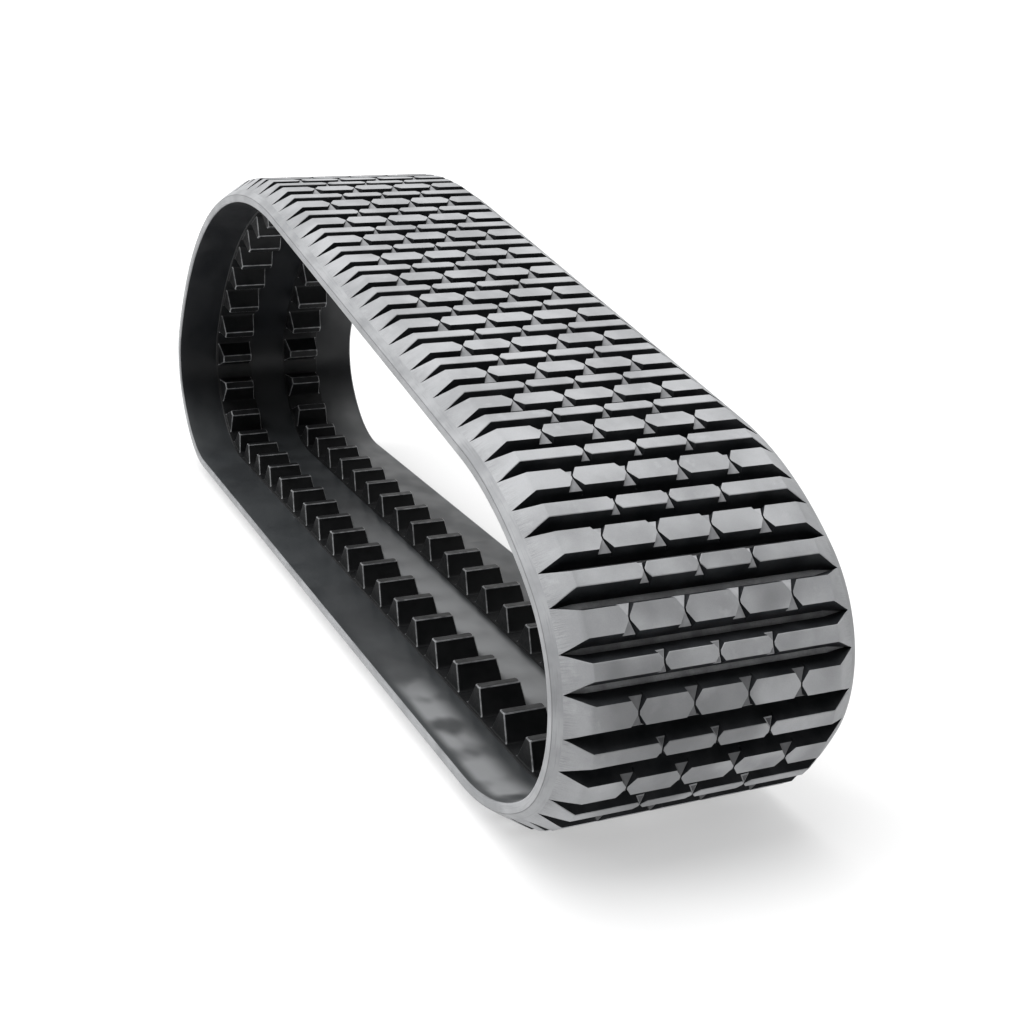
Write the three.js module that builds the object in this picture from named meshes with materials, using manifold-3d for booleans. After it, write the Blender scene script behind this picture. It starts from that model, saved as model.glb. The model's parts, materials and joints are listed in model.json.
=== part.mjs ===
// Endless rubber track of a multi-terrain loader, lying in its free oval shape on its bottom run.
// Frame: +X along the run toward the tight end, +Y across the belt, +Z up, origin under the middle.
// The belt is built in layers, from inside to outside: two rows of drive lugs on their facing strips,
// the inner cover, the tensile cord ply, and the outer cover with its tread bars. It bends at the
// gaps between its twelve sections, whose pivots lie on the cord line.
import * as THREE from "three";
import { ConvexGeometry } from "three/addons/geometries/ConvexGeometry.js";
import { mergeVertices } from "three/addons/utils/BufferGeometryUtils.js";
import Module from "manifold-3d";

const wasm = await Module();
wasm.setup();

// ---- Driving dimensions, in millimetres and degrees ----
const BELT_WIDTH = 457.2;
const LUG_COUNT = 51;

// The cord line seen from the side, as [radius, turn] of each bend from the bottom run onward.
const TIGHT_END = [
  [380, 35],
  [196, 105],
  [550, 29],
];
const WIDE_END = [
  [949.7, 67],
  [157, 66],
  [250, 58],
];

// Depths are counted from the belt's inner face outward.
const CORD_LINE_DEPTH = 6;
const INNER_COVER_THICKNESS = 4.85;
const CORD_PLY_THICKNESS = 1.7;
const LAYER_GAP = 0.3;
const BELT_THICKNESS = 16;
const TREAD_DEPTH = 47;
const CORD_PLY_MARGIN = 11.7; // solid rubber edge beside the plies

// Shoulder of the tread: a smooth band, then a bevel up to the tread face.
const SMOOTH_BAND = 12;
const SMOOTH_BAND_DEPTH = 24;
const BEVEL_WIDTH = 47;

// Drive lugs.
const LUG_HEIGHT = 44;
const LUG_BASE = 62;
const LUG_CREST = 16;
const LUG_OUTER_Y = 129;
const LUG_INNER_Y = 47;
const LUG_SIDE_DRAFT = 4.5;
const LUG_PHASE = 57.4; // from the start of a pitch to the middle of its lug
const STRIP_THICKNESS = 2.5;
const STRIP_MARGIN = 5;
const STRIP_SEAT = 0.5; // each facing strip is pressed this far into the inner cover

// Tread rows: each pitch holds a narrow row with two blocks and a wide row with three.
const NARROW_ROW = {
  share: 46.8 / 101.6,
  halfFace: 11.5,
  chamfer: 7.5,
  notches: [-81, 0, 81],
};
const WIDE_ROW = {
  share: 54.8 / 101.6,
  halfFace: 18,
  chamfer: 11,
  notches: [-121.5, -40.5, 40.5, 121.5],
};
const GROOVE_FLOOR = 8;
const NECK = 5; // left between the notches on both sides of a bar
const TIE_DROP = 9; // from a bar's face to the foot of the tie that slopes down in a notch

// Sections, counted in lug pitches, from the one in the middle of the bottom run onward.
const SECTION_PITCHES = [5, 4, 4, 4, 4, 4, 4, 4, 4, 4, 5, 5];
const FIRST_SECTION_START = -285.6;
const SECTION_GAP = 1.2;
const HINGE_CUT = THREE.MathUtils.degToRad(7); // each end leans back from the pivot by this much
const FINEST_TURN = THREE.MathUtils.degToRad(9); // of a row without a ring in its middle

// ---- The cord line ----
// How far a chain of bends carries the line, starting at a heading.
function bendChain(bends, heading) {
  let x = 0;
  let z = 0;
  for (const [radius, turn] of bends) {
    const next = heading + THREE.MathUtils.degToRad(turn);
    x += radius * (Math.sin(next) - Math.sin(heading));
    z += radius * (Math.cos(heading) - Math.cos(next));
    heading = next;
  }
  return { x, z, heading };
}

// The two straight runs get the lengths that close the line.
function closedCordLine() {
  const tight = bendChain(TIGHT_END, 0);
  const wide = bendChain(WIDE_END, tight.heading);
  const topRun = -(tight.z + wide.z) / Math.sin(tight.heading);
  const bottomRun = -(tight.x + wide.x + topRun * Math.cos(tight.heading));
  const bend = ([radius, turn]) => ({
    length: radius * THREE.MathUtils.degToRad(turn),
    curvature: 1 / radius,
  });
  const straight = (length) => ({ length, curvature: 0 });
  const pieces = [
    straight(bottomRun / 2),
    ...TIGHT_END.map(bend),
    straight(topRun),
    ...WIDE_END.map(bend),
    straight(bottomRun / 2),
  ];
  let start = 0;
  let point = { x: 0, z: 0, heading: 0 };
  for (const piece of pieces) {
    Object.assign(piece, { start, point });
    point = pointOnPiece(piece, piece.length);
    start += piece.length;
  }
  return { pieces, length: start };
}

function pointOnPiece({ curvature, point }, along) {
  const heading = point.heading + curvature * along;
  if (curvature === 0) {
    const x = point.x + along * Math.cos(heading);
    const z = point.z + along * Math.sin(heading);
    return { x, z, heading };
  }
  const x = point.x + (Math.sin(heading) - Math.sin(point.heading)) / curvature;
  const z = point.z + (Math.cos(point.heading) - Math.cos(heading)) / curvature;
  return { x, z, heading };
}

const cordLine = closedCordLine();
const LUG_PITCH = cordLine.length / LUG_COUNT;

function cordPoint(along) {
  const wrapped = THREE.MathUtils.euclideanModulo(along, cordLine.length);
  const piece = cordLine.pieces.findLast((candidate) => candidate.start <= wrapped);
  return pointOnPiece(piece, wrapped - piece.start);
}

// A point of the belt: distance along the cord line, offset across, depth from the inner face.
function beltPoint(along, across, depth) {
  const { x, z, heading } = cordPoint(along);
  const out = depth - CORD_LINE_DEPTH;
  return new THREE.Vector3(x + out * Math.sin(heading), across, z - out * Math.cos(heading));
}

// The same, measured in the straight frame that touches the belt at one place.
function framePoint(place, ahead, across, depth) {
  const { heading } = cordPoint(place);
  const point = beltPoint(place, across, depth);
  point.x += ahead * Math.cos(heading);
  point.z += ahead * Math.sin(heading);
  return point;
}

// A point of a section's end face, which leans back from the pivot both inward and outward.
function sectionPoint(section, along, across, depth) {
  const lean = Math.abs(depth - CORD_LINE_DEPTH) * Math.tan(HINGE_CUT);
  if (along === section.from) return framePoint(along, lean, across, depth);
  if (along === section.to) return framePoint(along, -lean, across, depth);
  return beltPoint(along, across, depth);
}

function straightAt(along) {
  const wrapped = THREE.MathUtils.euclideanModulo(along, cordLine.length);
  return cordLine.pieces.findLast(({ start }) => start <= wrapped).curvature === 0;
}

// ---- Sections and their rings ----
// Every layer of a section bends at the same rings, so that the layers stay parallel. They lie at
// the grooves between the tread rows, and on tight bends in the middle of a row too.
function beltSections() {
  let start = FIRST_SECTION_START;
  return SECTION_PITCHES.map((count, index) => {
    const pitchStarts = Array.from({ length: count }, (_, pitch) => start + pitch * LUG_PITCH);
    const end = start + count * LUG_PITCH;
    const section = {
      number: String(index + 1).padStart(2, "0"),
      from: start + SECTION_GAP / 2,
      to: end - SECTION_GAP / 2,
      pitchStarts,
      rows: treadRows(pitchStarts),
      pivot: beltPoint(end, 0, CORD_LINE_DEPTH),
    };
    section.rows[0].from = section.from;
    section.rows.at(-1).to = section.to;
    start = end;
    return section;
  });
}

function treadRows(pitchStarts) {
  return pitchStarts.flatMap((start) => {
    const groove = start + NARROW_ROW.share * LUG_PITCH;
    const end = start + LUG_PITCH;
    return [
      { row: NARROW_ROW, from: start, middle: (start + groove) / 2, to: groove },
      { row: WIDE_ROW, from: groove, middle: (groove + end) / 2, to: end },
    ];
  });
}

function isTight({ from, to }) {
  return Math.abs(cordPoint(to).heading - cordPoint(from).heading) > FINEST_TURN;
}

function layerRings(section) {
  const rings = [section.from];
  for (const place of section.rows) {
    const { from, middle, to } = place;
    const bends = !straightAt(from) || !straightAt(to);
    if (bends && from > rings.at(-1)) rings.push(from);
    if (isTight(place)) rings.push(middle);
    if (bends && to < section.to) rings.push(to);
  }
  return [...rings, section.to];
}

// ---- Solids ----
function solid(geometry) {
  const bare = geometry.clone().deleteAttribute("normal").deleteAttribute("uv");
  const merged = mergeVertices(bare, 1e-4);
  const mesh = new wasm.Mesh({
    numProp: 3,
    vertProperties: merged.attributes.position.array,
    triVerts: new Uint32Array(merged.index.array),
  });
  return new wasm.Manifold(mesh);
}

function convex(points) {
  return solid(new ConvexGeometry(points));
}

// Collects the corners and faces of a solid that is built face by face.
class Faces {
  points = [];
  faces = [];

  corner(point) {
    this.points.push(point);
    return this.points.length - 1;
  }

  // A face whose corners are given in order, counterclockwise as seen from outside.
  fan(first, ...others) {
    for (let i = 0; i + 1 < others.length; i++) {
      this.faces.push([first, others[i], others[i + 1]]);
    }
  }

  // A flat face of any outline. Its corners' places on the plane decide which side is outside.
  outline(corners, places, outward = true) {
    const contour = places.map((place) => new THREE.Vector2(...place));
    const order = corners.slice();
    if (THREE.ShapeUtils.isClockWise(contour)) {
      contour.reverse();
      order.reverse();
    }
    for (const face of THREE.ShapeUtils.triangulateShape(contour, [])) {
      const turned = outward ? face : face.toReversed();
      this.faces.push(turned.map((corner) => order[corner]));
    }
  }

  solid() {
    const geometry = new THREE.BufferGeometry().setFromPoints(this.points);
    return solid(geometry.setIndex(this.faces.flat()));
  }
}

// A closed outline of [across, depth] points, swept along a section of the belt.
function sweptLayer(outline, section) {
  const shape = new Faces();
  const flat = outline.map((corner) => new THREE.Vector2(...corner));
  const ordered = THREE.ShapeUtils.isClockWise(flat) ? outline.toReversed() : outline;
  const rings = layerRings(section).map((along) =>
    ordered.map((corner) => shape.corner(sectionPoint(section, along, ...corner))),
  );
  shape.outline(rings[0], ordered);
  shape.outline(rings.at(-1), ordered, false);
  for (let i = 0; i + 1 < rings.length; i++) {
    const [near, far] = [rings[i], rings[i + 1]];
    for (let k = 0; k < ordered.length; k++) {
      const next = (k + 1) % ordered.length;
      shape.fan(near[next], near[k], far[k], far[next]);
    }
  }
  return shape.solid();
}

function joined(first, ...others) {
  return others.reduce((whole, part) => whole.add(part), first);
}

// ---- Outer cover and tread ----
const EDGE = BELT_WIDTH / 2;
const OUTER_START = CORD_LINE_DEPTH + CORD_PLY_THICKNESS / 2 + LAYER_GAP;
const LIP_START = INNER_COVER_THICKNESS + LAYER_GAP;

const GROOVE_END = EDGE - SMOOTH_BAND - 6;
const BEVEL_TOP = EDGE - BEVEL_WIDTH;

// The cover's side and underside, from its right edge round to its left edge.
const rightSide = [
  [EDGE, BELT_THICKNESS],
  [EDGE, LIP_START],
  [EDGE - CORD_PLY_MARGIN + LAYER_GAP, LIP_START],
  [EDGE - CORD_PLY_MARGIN + LAYER_GAP, OUTER_START],
];
const underside = [
  ...rightSide,
  ...rightSide.toReversed().map(([across, depth]) => [-across, depth]),
];
// The rest of a cut through a groove, from the left edge back to the right one.
const grooveCut = [
  [SMOOTH_BAND - EDGE, SMOOTH_BAND_DEPTH],
  [-GROOVE_END, BELT_THICKNESS],
  [GROOVE_END, BELT_THICKNESS],
  [EDGE - SMOOTH_BAND, SMOOTH_BAND_DEPTH],
];

// A ring of corners at a groove between two rows.
function grooveRing(shape, section, along) {
  const place = (corner) => shape.corner(sectionPoint(section, along, ...corner));
  const [leftTip, leftEnd, rightEnd, rightTip] = grooveCut.map(place);
  return { under: underside.map(place), leftTip, leftEnd, rightEnd, rightTip };
}

// The corners of one flank of a tread bar, from its left end to its right end. Its top edge steps in
// to a neck at each notch, and a tie slopes down from the neck to the flank below the notch.
function barFlank(shape, { row, from, middle, to }, front) {
  const place = (ahead, across, depth = TREAD_DEPTH) => {
    const corner = shape.corner(framePoint(middle, ahead, across, depth));
    return { corner, ahead, across, depth };
  };
  const foot = front > 0 ? to - middle - GROOVE_FLOOR / 2 : from - middle + GROOVE_FLOOR / 2;
  const face = front * row.halfFace;
  const tieDepth = TREAD_DEPTH - TIE_DROP;
  const tie = face + ((foot - face) * TIE_DROP) / (TREAD_DEPTH - BELT_THICKNESS);
  const notches = row.notches.map((across) => ({
    before: place(face, across - row.chamfer),
    neck: place((front * NECK) / 2, across),
    after: place(face, across + row.chamfer),
    tieBefore: place(tie, across - row.chamfer, tieDepth),
    tieAfter: place(tie, across + row.chamfer, tieDepth),
  }));
  const steps = notches.flatMap(({ before, neck, after }) => [before, neck, after]);
  return {
    notches,
    edge: [place(face, -BEVEL_TOP), ...steps, place(face, BEVEL_TOP)],
    feet: [-BEVEL_TOP, BEVEL_TOP].map((across) => place(foot, across, BELT_THICKNESS)),
  };
}

function addFlank(shape, { notches, edge, feet }, front, ring) {
  const addFace = (...corners) => shape.fan(...(front > 0 ? corners : corners.reverse()));
  for (const { before, neck, after, tieBefore, tieAfter } of notches) {
    addFace(before.corner, neck.corner, tieBefore.corner);
    addFace(neck.corner, tieAfter.corner, tieBefore.corner);
    addFace(neck.corner, after.corner, tieAfter.corner);
  }
  const [left, right] = [edge[0], edge.at(-1)];
  const [leftFoot, rightFoot] = feet;
  addFace(ring.leftTip, left.corner, leftFoot.corner, ring.leftEnd);
  addFace(right.corner, ring.rightTip, ring.rightEnd, rightFoot.corner);
  const below = notches.flatMap(({ before, tieBefore, tieAfter, after }) => [
    before,
    tieBefore,
    tieAfter,
    after,
  ]);
  const outline = [left, ...below, right, rightFoot, leftFoot];
  const places = outline.map(({ across, depth }) => [across, depth]);
  shape.outline(outline.map(({ corner }) => corner), places, front < 0);
}

// A bar's face, its bevels at both ends, and the smooth bands beside them.
function addBarTop(shape, back, front, near, far, middleRing) {
  const faceCorners = [...front.edge, ...back.edge.toReversed()];
  const places = faceCorners.map(({ ahead, across }) => [across, ahead]);
  shape.outline(faceCorners.map(({ corner }) => corner), places);
  const leftCorners = [back.edge[0].corner, front.edge[0].corner];
  const rightCorners = [front.edge.at(-1).corner, back.edge.at(-1).corner];
  shape.fan(near.leftTip, ...leftCorners, far.leftTip);
  shape.fan(far.rightTip, ...rightCorners, near.rightTip);
  const edges = middleRing ? [near.under, middleRing, far.under] : [near.under, far.under];
  shape.fan(near.rightTip, ...edges.map((under) => under[0]), far.rightTip);
  shape.fan(far.leftTip, ...edges.toReversed().map((under) => under.at(-1)), near.leftTip);
}

function addUnderside(shape, rings) {
  for (let i = 0; i + 1 < rings.length; i++) {
    const [near, far] = [rings[i], rings[i + 1]];
    for (let k = 0; k + 1 < near.length; k++) {
      shape.fan(near[k], near[k + 1], far[k + 1], far[k]);
    }
  }
}

// The floor of a groove lies between the feet of the bars beside it. At the end of a section only
// one bar stands beside it, and the floor's other side is the cut.
function addGroove(shape, ring, beside) {
  const half = GROOVE_FLOOR / 2;
  const places = [[-GROOVE_END, 0]];
  const corners = [ring.leftEnd];
  const feetOn = (side) => beside.find((bar) => bar.side === side)?.feet ?? [];
  for (const { corner, across } of feetOn(-1)) {
    corners.push(corner);
    places.push([across, -half]);
  }
  corners.push(ring.rightEnd);
  places.push([GROOVE_END, 0]);
  for (const { corner, across } of feetOn(1).toReversed()) {
    corners.push(corner);
    places.push([across, half]);
  }
  shape.outline(corners, places);
}

function outerTread(section) {
  const shape = new Faces();
  const grooves = [section.from, ...section.rows.map(({ to }) => to)];
  const rings = grooves.map((along) => grooveRing(shape, section, along));
  const unders = [rings[0].under];
  const beside = rings.map(() => []);
  section.rows.forEach((place, i) => {
    const [near, far] = [rings[i], rings[i + 1]];
    const back = barFlank(shape, place, -1);
    const front = barFlank(shape, place, 1);
    addFlank(shape, back, -1, near);
    addFlank(shape, front, 1, far);
    let middleRing = null;
    if (isTight(place)) {
      middleRing = underside.map(([across, depth]) =>
        shape.corner(beltPoint(place.middle, across, depth)),
      );
      unders.push(middleRing);
    }
    unders.push(far.under);
    addBarTop(shape, back, front, near, far, middleRing);
    beside[i].push({ side: 1, feet: back.feet });
    beside[i + 1].push({ side: -1, feet: front.feet });
  });
  addUnderside(shape, unders);
  rings.forEach((ring, i) => addGroove(shape, ring, beside[i]));
  for (const [ring, outward] of [
    [rings[0], true],
    [rings.at(-1), false],
  ]) {
    const corners = [...ring.under, ring.leftTip, ring.leftEnd, ring.rightEnd, ring.rightTip];
    shape.outline(corners, [...underside, ...grooveCut], outward);
  }
  return shape.solid();
}

// ---- Inner layers ----
function rectangle(left, right, low, high) {
  return [
    [right, high],
    [right, low],
    [left, low],
    [left, high],
  ];
}

function cordPly(section) {
  const half = EDGE - CORD_PLY_MARGIN;
  const low = CORD_LINE_DEPTH - CORD_PLY_THICKNESS / 2;
  const outline = rectangle(-half, half, low, low + CORD_PLY_THICKNESS);
  return sweptLayer(outline, section);
}

// The wheels roll on three flat bands, on both sides of the seats of the facing strips.
function innerCover(section) {
  const corner = 1.5;
  const near = LUG_INNER_Y - STRIP_MARGIN - LAYER_GAP;
  const far = LUG_OUTER_Y + STRIP_MARGIN + LAYER_GAP;
  const rightHalf = [
    [EDGE, INNER_COVER_THICKNESS],
    [EDGE, corner],
    [EDGE - corner, 0],
    [far, 0],
    [far, STRIP_SEAT],
    [near, STRIP_SEAT],
    [near, 0],
  ];
  const leftHalf = rightHalf.toReversed().map(([across, depth]) => [-across, depth]);
  return sweptLayer([...rightHalf, ...leftHalf], section);
}

// A lug's foot follows the belt's bend, and its flanks lean in to a narrow crest.
function driveLug(place, side) {
  const points = [];
  for (const across of [LUG_INNER_Y, LUG_OUTER_Y]) {
    for (const step of [-1, 0, 1]) {
      points.push(beltPoint(place + (step * LUG_BASE) / 2, side * across, -1.3));
    }
  }
  for (const across of [LUG_INNER_Y + LUG_SIDE_DRAFT, LUG_OUTER_Y - LUG_SIDE_DRAFT]) {
    for (const ahead of [-LUG_CREST / 2, LUG_CREST / 2]) {
      points.push(framePoint(place, ahead, side * across, -LUG_HEIGHT));
    }
  }
  return convex(points);
}

function lugRow(section, side) {
  const high = STRIP_SEAT - LAYER_GAP;
  const near = side * (LUG_INNER_Y - STRIP_MARGIN);
  const far = side * (LUG_OUTER_Y + STRIP_MARGIN);
  const [left, right] = [Math.min(near, far), Math.max(near, far)];
  const outline = rectangle(left, right, high - STRIP_THICKNESS, high);
  const strip = sweptLayer(outline, section);
  const lugs = section.pitchStarts.map((start) => driveLug(start + LUG_PHASE, side));
  return joined(strip, ...lugs);
}

// ---- Assembly ----
const treadRubber = new THREE.MeshStandardMaterial({
  color: 0x7f8386,
  roughness: 0.62,
  metalness: 0,
});
const coverRubber = new THREE.MeshStandardMaterial({
  color: 0x2a2b2d,
  roughness: 0.5,
  metalness: 0,
});
const lugRubber = new THREE.MeshStandardMaterial({
  color: 0x1c1d1f,
  roughness: 0.42,
  metalness: 0,
});
const cordFabric = new THREE.MeshStandardMaterial({
  color: 0xa89f86,
  roughness: 0.85,
  metalness: 0,
});

function node(name, body, material) {
  const { vertProperties, triVerts } = body.getMesh();
  const geometry = new THREE.BufferGeometry()
    .setAttribute("position", new THREE.BufferAttribute(vertProperties, 3))
    .setIndex(new THREE.BufferAttribute(triVerts, 1));
  geometry.computeVertexNormals();
  const mesh = new THREE.Mesh(geometry, material);
  mesh.name = name;
  return mesh;
}

const track = new THREE.Group();
track.name = "rubber_track";
const sections = beltSections();
for (const section of sections) {
  track.add(node("outer_tread_" + section.number, outerTread(section), treadRubber));
  track.add(node("cord_ply_" + section.number, cordPly(section), cordFabric));
  track.add(node("inner_cover_" + section.number, innerCover(section), coverRubber));
  track.add(node("drive_lugs_left_" + section.number, lugRow(section, -1), lugRubber));
  track.add(node("drive_lugs_right_" + section.number, lugRow(section, 1), lugRubber));
}

// The tread face of the bottom run stands at z = 0, and the track is centred along X.
const bounds = new THREE.Box3().setFromObject(track);
track.position.set(-(bounds.min.x + bounds.max.x) / 2, 0, TREAD_DEPTH - CORD_LINE_DEPTH);
track.userData.pivots = sections.map(({ pivot }) => pivot.clone().add(track.position).toArray());

export default track;
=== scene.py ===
import json
import math
from dataclasses import dataclass

import bmesh
import bpy
import numpy as np
from mathutils import Matrix, Vector


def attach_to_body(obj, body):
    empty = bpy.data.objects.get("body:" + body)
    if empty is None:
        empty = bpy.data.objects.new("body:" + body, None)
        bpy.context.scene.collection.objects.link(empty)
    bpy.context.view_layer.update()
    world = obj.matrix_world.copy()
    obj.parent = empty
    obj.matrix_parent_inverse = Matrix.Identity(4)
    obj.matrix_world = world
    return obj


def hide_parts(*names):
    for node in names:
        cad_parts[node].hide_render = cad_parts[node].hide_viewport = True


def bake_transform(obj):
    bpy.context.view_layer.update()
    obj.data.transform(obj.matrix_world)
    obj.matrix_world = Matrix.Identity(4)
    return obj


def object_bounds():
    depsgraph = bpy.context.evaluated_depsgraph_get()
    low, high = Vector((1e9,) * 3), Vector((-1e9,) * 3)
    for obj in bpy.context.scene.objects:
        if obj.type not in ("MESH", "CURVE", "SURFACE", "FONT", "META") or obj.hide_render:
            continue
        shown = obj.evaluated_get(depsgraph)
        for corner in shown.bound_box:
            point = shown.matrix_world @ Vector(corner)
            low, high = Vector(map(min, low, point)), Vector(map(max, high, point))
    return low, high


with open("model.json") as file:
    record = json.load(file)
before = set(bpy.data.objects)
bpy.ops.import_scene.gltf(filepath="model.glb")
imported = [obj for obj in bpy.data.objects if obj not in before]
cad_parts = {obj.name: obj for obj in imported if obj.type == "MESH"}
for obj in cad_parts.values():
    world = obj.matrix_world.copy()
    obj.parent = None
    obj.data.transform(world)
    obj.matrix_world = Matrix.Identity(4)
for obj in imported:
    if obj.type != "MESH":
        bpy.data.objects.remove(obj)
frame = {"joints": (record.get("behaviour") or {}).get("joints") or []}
CAD_LOW, CAD_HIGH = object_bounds()

# ---- The belt, in millimetres and degrees, as its CAD model has it ----
MM = 0.001
BELT_WIDTH = (CAD_HIGH.y - CAD_LOW.y) / MM
EDGE = BELT_WIDTH / 2
LUG_COUNT = 51

# The cord line seen from the side, as (radius, turn) of each bend from the bottom run onward.
TIGHT_END = ((380, 35), (196, 105), (550, 29))
WIDE_END = ((949.7, 67), (157, 66), (250, 58))

# Depths are counted from the belt's inner face outward.
CORD_LINE_DEPTH = 6
INNER_COVER_DEPTH = 4.85
PLY_LOW, PLY_HIGH = 5.15, 6.85
OUTER_COVER_DEPTH = 7.15
BELT_THICKNESS = 16
TREAD_DEPTH = 47

# Shoulder of the tread.
SMOOTH_BAND = 12
SMOOTH_BAND_DEPTH = 24
BEVEL_TOP = EDGE - 47
GROOVE_END = EDGE - SMOOTH_BAND - 6
RIM_LIP = 3  # width of the light edge that shows beside the inner cover
RIM_ROUND = 2.6  # of the arc between the shoulder's smooth band and the edge
RIM_ROUND_DROP = 2.2
RIM_ROUND_FROM = 62
MOULDING_LINE = 14.8
PLY_MARGIN = 11.4
LAYER_GAP = 0.3

# Tread bars.
GROOVE_FLOOR = 8
FLOOR_CROWN = 1.2
NECK = 5  # left between the notches on both sides of a bar
SIPE = 2.6
SIPE_DEPTH = 7
TIE_DROP = 9  # from a bar's face to the foot of the sloping tie in a notch
EDGE_ROUND = 1.1
ROUNDED_ANGLE = math.radians(20)  # sharper edges of the bars are rounded
TIP_REACH = 0.5  # from a row's end, where the shoulders' edges stay sharp
STIFF_FROM, STIFF_TO = 24, 44  # depths between which a bar stops bending with the belt

# Drive lugs.
LUG_HEIGHT = 44
LUG_BASE = 62
LUG_CREST = 16
LUG_OUTER_Y = 129
LUG_INNER_Y = 47
LUG_SIDE_DRAFT = 4.5
LUG_PHASE = 57.4
LUG_DISH = 1.3
LUG_STIFF_RISE = 8  # above this height over its strip a lug stops bending with the belt
STRIP_TOP = 2.3
STRIP_MARGIN = 5
STRIP_SLOPE = 3.5  # width of the strip's rounded border

# Sections, counted in lug pitches.
SECTION_PITCHES = (5, 4, 4, 4, 4, 4, 4, 4, 4, 4, 5, 5)
FIRST_SECTION_START = -285.6
SPLICE = 7  # the number of the section whose end is joined to the next one by no joint
BEND_REACH = 120  # distance on both sides of a hinge

SMOOTH_ANGLE = math.radians(42)


@dataclass
class Row:
    share: float
    half_face: float
    chamfer: float
    notches: tuple


NARROW_ROW = Row(46.8 / 101.6, 11.5, 7.5, (-81, 0, 81))
WIDE_ROW = Row(54.8 / 101.6, 18, 11, (-121.5, -40.5, 40.5, 121.5))


# ---- The cord line ----
def walk(start, heading, curvature, length):
    """The point and heading at a length along a bend or a straight run."""
    half_turn = curvature * length / 2
    reach = length * np.sinc(half_turn / np.pi)
    x = start[0] + reach * np.cos(heading + half_turn)
    z = start[1] + reach * np.sin(heading + half_turn)
    return (x, z), heading + 2 * half_turn


def chain(bends, start=(0.0, 0.0), heading=0.0):
    for radius, turn in bends:
        start, heading = walk(start, heading, 1 / radius, radius * math.radians(turn))
    return start, heading


def cord_runs():
    """(length, curvature) of each run; the two straight ones close the line."""
    tight, turned = chain(TIGHT_END)
    wide, _ = chain(WIDE_END, heading=turned)
    top_run = -(tight[1] + wide[1]) / math.sin(turned)
    bottom_run = -(tight[0] + wide[0] + top_run * math.cos(turned))

    def bends(end):
        return [(radius * math.radians(turn), 1 / radius) for radius, turn in end]

    half = (bottom_run / 2, 0.0)
    return [half, *bends(TIGHT_END), (top_run, 0.0), *bends(WIDE_END), half]


def laid_runs():
    """Where each run starts: along the line, and its point and heading."""
    along, point, heading = 0.0, (0.0, 0.0), 0.0
    rows = []
    for length, curvature in cord_runs():
        rows.append((along, *point, heading, curvature))
        point, heading = walk(point, heading, curvature, length)
        along += length
    return np.array(rows), along


RUNS, CORD_LENGTH = laid_runs()
LUG_PITCH = CORD_LENGTH / LUG_COUNT


def cord_at(along):
    wrapped = np.mod(along, CORD_LENGTH)
    run = RUNS[np.searchsorted(RUNS[:, 0], wrapped, side="right") - 1]
    return walk((run[..., 1], run[..., 2]), run[..., 3], run[..., 4], wrapped - run[..., 0])


def section_ends():
    """How far along the line each section ends."""
    return FIRST_SECTION_START + np.cumsum(SECTION_PITCHES) * LUG_PITCH


# The record's first joint lies at the end of the first section, which places the belt along X.
FIRST_PIVOT = frame["joints"][0]["pos_m"]
OFFSET_X = FIRST_PIVOT[0] / MM - float(cord_at(section_ends()[0])[0][0])
OFFSET_Z = FIRST_PIVOT[2] / MM


def belt_points(along, across, depth, middle=None, stiff=0.0):
    """Row-frame points in metres. Where stiff is 1, they lie in the straight frame at middle."""
    along, across, depth = np.broadcast_arrays(along, across, depth)
    out = depth - CORD_LINE_DEPTH
    (x, z), heading = cord_at(along)
    x = x + out * np.sin(heading)
    z = z - out * np.cos(heading)
    if middle is not None:
        (mid_x, mid_z), heading = cord_at(middle)
        ahead = along - middle
        x += stiff * (mid_x + out * np.sin(heading) + ahead * np.cos(heading) - x)
        z += stiff * (mid_z - out * np.cos(heading) + ahead * np.sin(heading) - z)
    return np.stack([x + OFFSET_X, across, z + OFFSET_Z], axis=-1) * MM


# ---- Mesh building ----
class Sheet:
    """Faces in belt coordinates, welded where their corners meet."""

    def __init__(self):
        self.mesh = bmesh.new()
        self.known = {}

    def corner(self, point):
        key = tuple(round(value, 3) + 0.0 for value in point)
        if key not in self.known:
            self.known[key] = self.mesh.verts.new(point)
        return self.known[key]

    def face(self, points, finish=0):
        corners = list(dict.fromkeys(self.corner(point) for point in points))
        made = self.mesh.faces.new(corners)
        made.material_index = finish

    def grid(self, lines, finish=0, closed=False):
        """Quads between lines of points; closed joins each line's last point to its first."""
        for near, far in zip(lines, lines[1:]):
            steps = len(near) if closed else len(near) - 1
            for i in range(steps):
                j = (i + 1) % len(near)
                self.face([near[i], near[j], far[j], far[i]], finish)

    def arrays(self):
        """(points, faces, finishes) as a numpy array and plain lists."""
        self.mesh.verts.index_update()
        points = np.array([vert.co for vert in self.mesh.verts])
        faces = [[vert.index for vert in face.verts] for face in self.mesh.faces]
        finishes = [face.material_index for face in self.mesh.faces]
        self.mesh.free()
        return points, faces, finishes


def line_between(first, last, steps):
    """Evenly spaced points from first to last."""
    share = np.linspace(0, 1, steps + 1)[:, None]
    return [tuple(point) for point in np.array(first) * (1 - share) + np.array(last) * share]


def arc(centre, radius, first, last, steps):
    """Points of an arc in a plane, between two angles in degrees."""
    angles = np.radians(np.linspace(first, last, steps + 1))
    return [(centre[0] + radius * math.cos(a), centre[1] + radius * math.sin(a)) for a in angles]


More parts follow.
